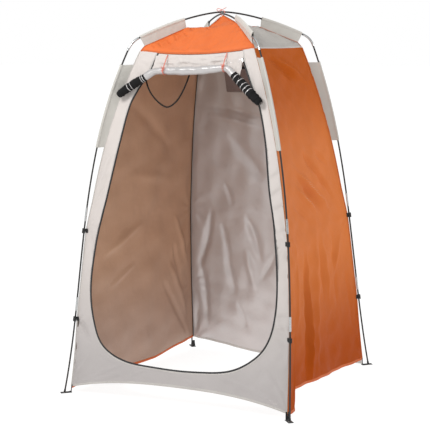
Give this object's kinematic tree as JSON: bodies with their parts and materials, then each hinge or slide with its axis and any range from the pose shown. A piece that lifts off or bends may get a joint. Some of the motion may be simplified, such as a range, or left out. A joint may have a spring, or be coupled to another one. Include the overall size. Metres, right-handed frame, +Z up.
{
  "type": "privacy shower tent",
  "caption": "Square pole tent with sloping fabric walls, crossed roof poles, a hipped roof and a doorway whose door is rolled up.",
  "frame": {"origin": "on the ground, midway between the four foot straps", "axes": "+Z up, -Y out of the doorway, +X to the right for someone who faces the doorway"},
  "size_m": [1.3346, 1.2466, 1.9678],
  "materials": {
    "grey_fabric": "thin coated polyester taffeta, light grey, fine weave and soft wrinkles",
    "orange_fabric": "thin coated polyester taffeta, orange, fine weave and soft wrinkles",
    "roll_fabric": "silvery coated polyester, rolled up, soft sheen",
    "pocket_fabric": "dark grey polyester",
    "fibreglass": "dark grey pultruded fibreglass, satin",
    "steel": "plated steel, satin",
    "black_plastic": "moulded black plastic",
    "black_webbing": "black woven webbing",
    "zip_tape": "dark zip tape and coil",
    "orange_cord": "thin pink-orange woven cord",
    "elastic": "sheathed elastic cord"
  },
  "bodies": {
    "tent": {"leg_lower_front_left": "fibreglass", "leg_upper_front_left": "fibreglass", "leg_ferrule_front_left": "steel", "elbow_front_left": "steel", "foot_strap_front_left": "black_webbing", "wall_sleeve_front_left": "grey_fabric", "roof_sleeve_front_left": "grey_fabric", "leg_lower_front_right": "fibreglass", "leg_upper_front_right": "fibreglass", "leg_ferrule_front_right": "steel", "elbow_front_right": "steel", "foot_strap_front_right": "black_webbing", "wall_sleeve_front_right": "grey_fabric", "roof_sleeve_front_right": "grey_fabric", "leg_lower_back_right": "fibreglass", "leg_upper_back_right": "fibreglass", "leg_ferrule_back_right": "steel", "elbow_back_right": "steel", "foot_strap_back_right": "black_webbing", "wall_sleeve_back_right": "grey_fabric", "roof_sleeve_back_right": "grey_fabric", "leg_lower_back_left": "fibreglass", "leg_upper_back_left": "fibreglass", "leg_ferrule_back_left": "steel", "elbow_back_left": "steel", "foot_strap_back_left": "black_webbing", "wall_sleeve_back_left": "grey_fabric", "roof_sleeve_back_left": "grey_fabric", "roof_pole_front_left_to_back_right": "fibreglass", "shock_cord_front_left_to_back_right": "elastic", "roof_pole_front_right_to_back_left": "fibreglass", "shock_cord_front_right_to_back_left": "elastic", "wall_front": "grey_fabric", "roof_front": "orange_fabric", "wall_right": "orange_fabric", "roof_right": "grey_fabric", "wall_back": "grey_fabric", "roof_back": "orange_fabric", "wall_left": "orange_fabric", "roof_left": "grey_fabric", "door_zip": "zip_tape", "hanging_cord": "zip_tape", "inner_pocket": "pocket_fabric", "apex_tie": "orange_cord"},
    "door": {"door_flap": "roll_fabric", "door_roll": "roll_fabric", "door_tie_left": "orange_cord", "door_tie_right": "orange_cord"},
    "slider_left": {"zip_slider_left": "steel"},
    "pull_left": {"pull_tab_left": "steel"},
    "slider_right": {"zip_slider_right": "steel"},
    "pull_right": {"pull_tab_right": "steel"},
    "clip_front_left_lower": {"pole_clip_front_left_lower": "black_plastic"},
    "clip_front_left_upper": {"pole_clip_front_left_upper": "black_plastic"},
    "clip_front_right_lower": {"pole_clip_front_right_lower": "black_plastic"},
    "clip_front_right_upper": {"pole_clip_front_right_upper": "black_plastic"},
    "clip_back_right_lower": {"pole_clip_back_right_lower": "black_plastic"},
    "clip_back_right_upper": {"pole_clip_back_right_upper": "black_plastic"},
    "clip_back_left_lower": {"pole_clip_back_left_lower": "black_plastic"},
    "clip_back_left_upper": {"pole_clip_back_left_upper": "black_plastic"}
  },
  "joints": [
    {"name": "door_swing", "type": "hinge", "parent": "tent", "child": "door", "pos_m": [0, -0.30334, 1.735], "axis": [-1, 0, 0], "range_deg": [0, 40]},
    {"name": "slider_travel_left", "type": "slide", "parent": "tent", "child": "slider_left", "axis": [-0.523, -0.2481, -0.8155], "range_m": [0, 0.083]},
    {"name": "pull_flip_left", "type": "hinge", "parent": "slider_left", "child": "pull_left", "pos_m": [-0.24449, -0.3363, 1.64044], "axis": [-0.8523, 0.1638, 0.4968], "range_deg": [0, 150]},
    {"name": "slider_travel_right", "type": "slide", "parent": "tent", "child": "slider_right", "axis": [0.4416, -0.2785, -0.8529], "range_m": [0, 0.135]},
    {"name": "pull_flip_right", "type": "hinge", "parent": "slider_right", "child": "pull_right", "pos_m": [0.27643, -0.32351, 1.70678], "axis": [-0.8972, -0.1477, -0.4162], "range_deg": [0, 150]},
    {"name": "turn_clip_front_left_lower", "type": "hinge", "parent": "tent", "child": "clip_front_left_lower", "pos_m": [-0.59506, -0.55308, 0.385], "axis": [0.1004, 0.097, 0.9902], "range_deg": [-12, 12]},
    {"name": "turn_clip_front_left_upper", "type": "hinge", "parent": "tent", "child": "clip_front_left_upper", "pos_m": [-0.55144, -0.51084, 0.84], "axis": [0.1028, 0.0992, 0.9897], "range_deg": [-12, 12]},
    {"name": "turn_clip_front_right_lower", "type": "hinge", "parent": "tent", "child": "clip_front_right_lower", "pos_m": [0.62929, -0.55587, 0.385], "axis": [-0.0322, 0.0903, 0.9954], "range_deg": [-12, 12]},
    {"name": "turn_clip_front_right_upper", "type": "hinge", "parent": "tent", "child": "clip_front_right_upper", "pos_m": [0.60556, -0.51692, 0.84], "axis": [-0.0857, 0.0923, 0.992], "range_deg": [-12, 12]},
    {"name": "turn_clip_back_right_lower", "type": "hinge", "parent": "tent", "child": "clip_back_right_lower", "pos_m": [0.51807, 0.55509, 0.385], "axis": [-0.0808, -0.0975, 0.9919], "range_deg": [-12, 12]},
    {"name": "turn_clip_back_right_upper", "type": "hinge", "parent": "tent", "child": "clip_back_right_upper", "pos_m": [0.48265, 0.51217, 0.84], "axis": [-0.0824, -0.0992, 0.9916], "range_deg": [-12, 12]},
    {"name": "turn_clip_back_left_lower", "type": "hinge", "parent": "tent", "child": "clip_back_left_lower", "pos_m": [-0.53066, 0.55509, 0.385], "axis": [0.0542, -0.0977, 0.9937], "range_deg": [-12, 12]},
    {"name": "turn_clip_back_left_upper", "type": "hinge", "parent": "tent", "child": "clip_back_left_upper", "pos_m": [-0.50338, 0.51217, 0.84], "axis": [0.0749, -0.0992, 0.9922], "range_deg": [-12, 12]}
  ]
}
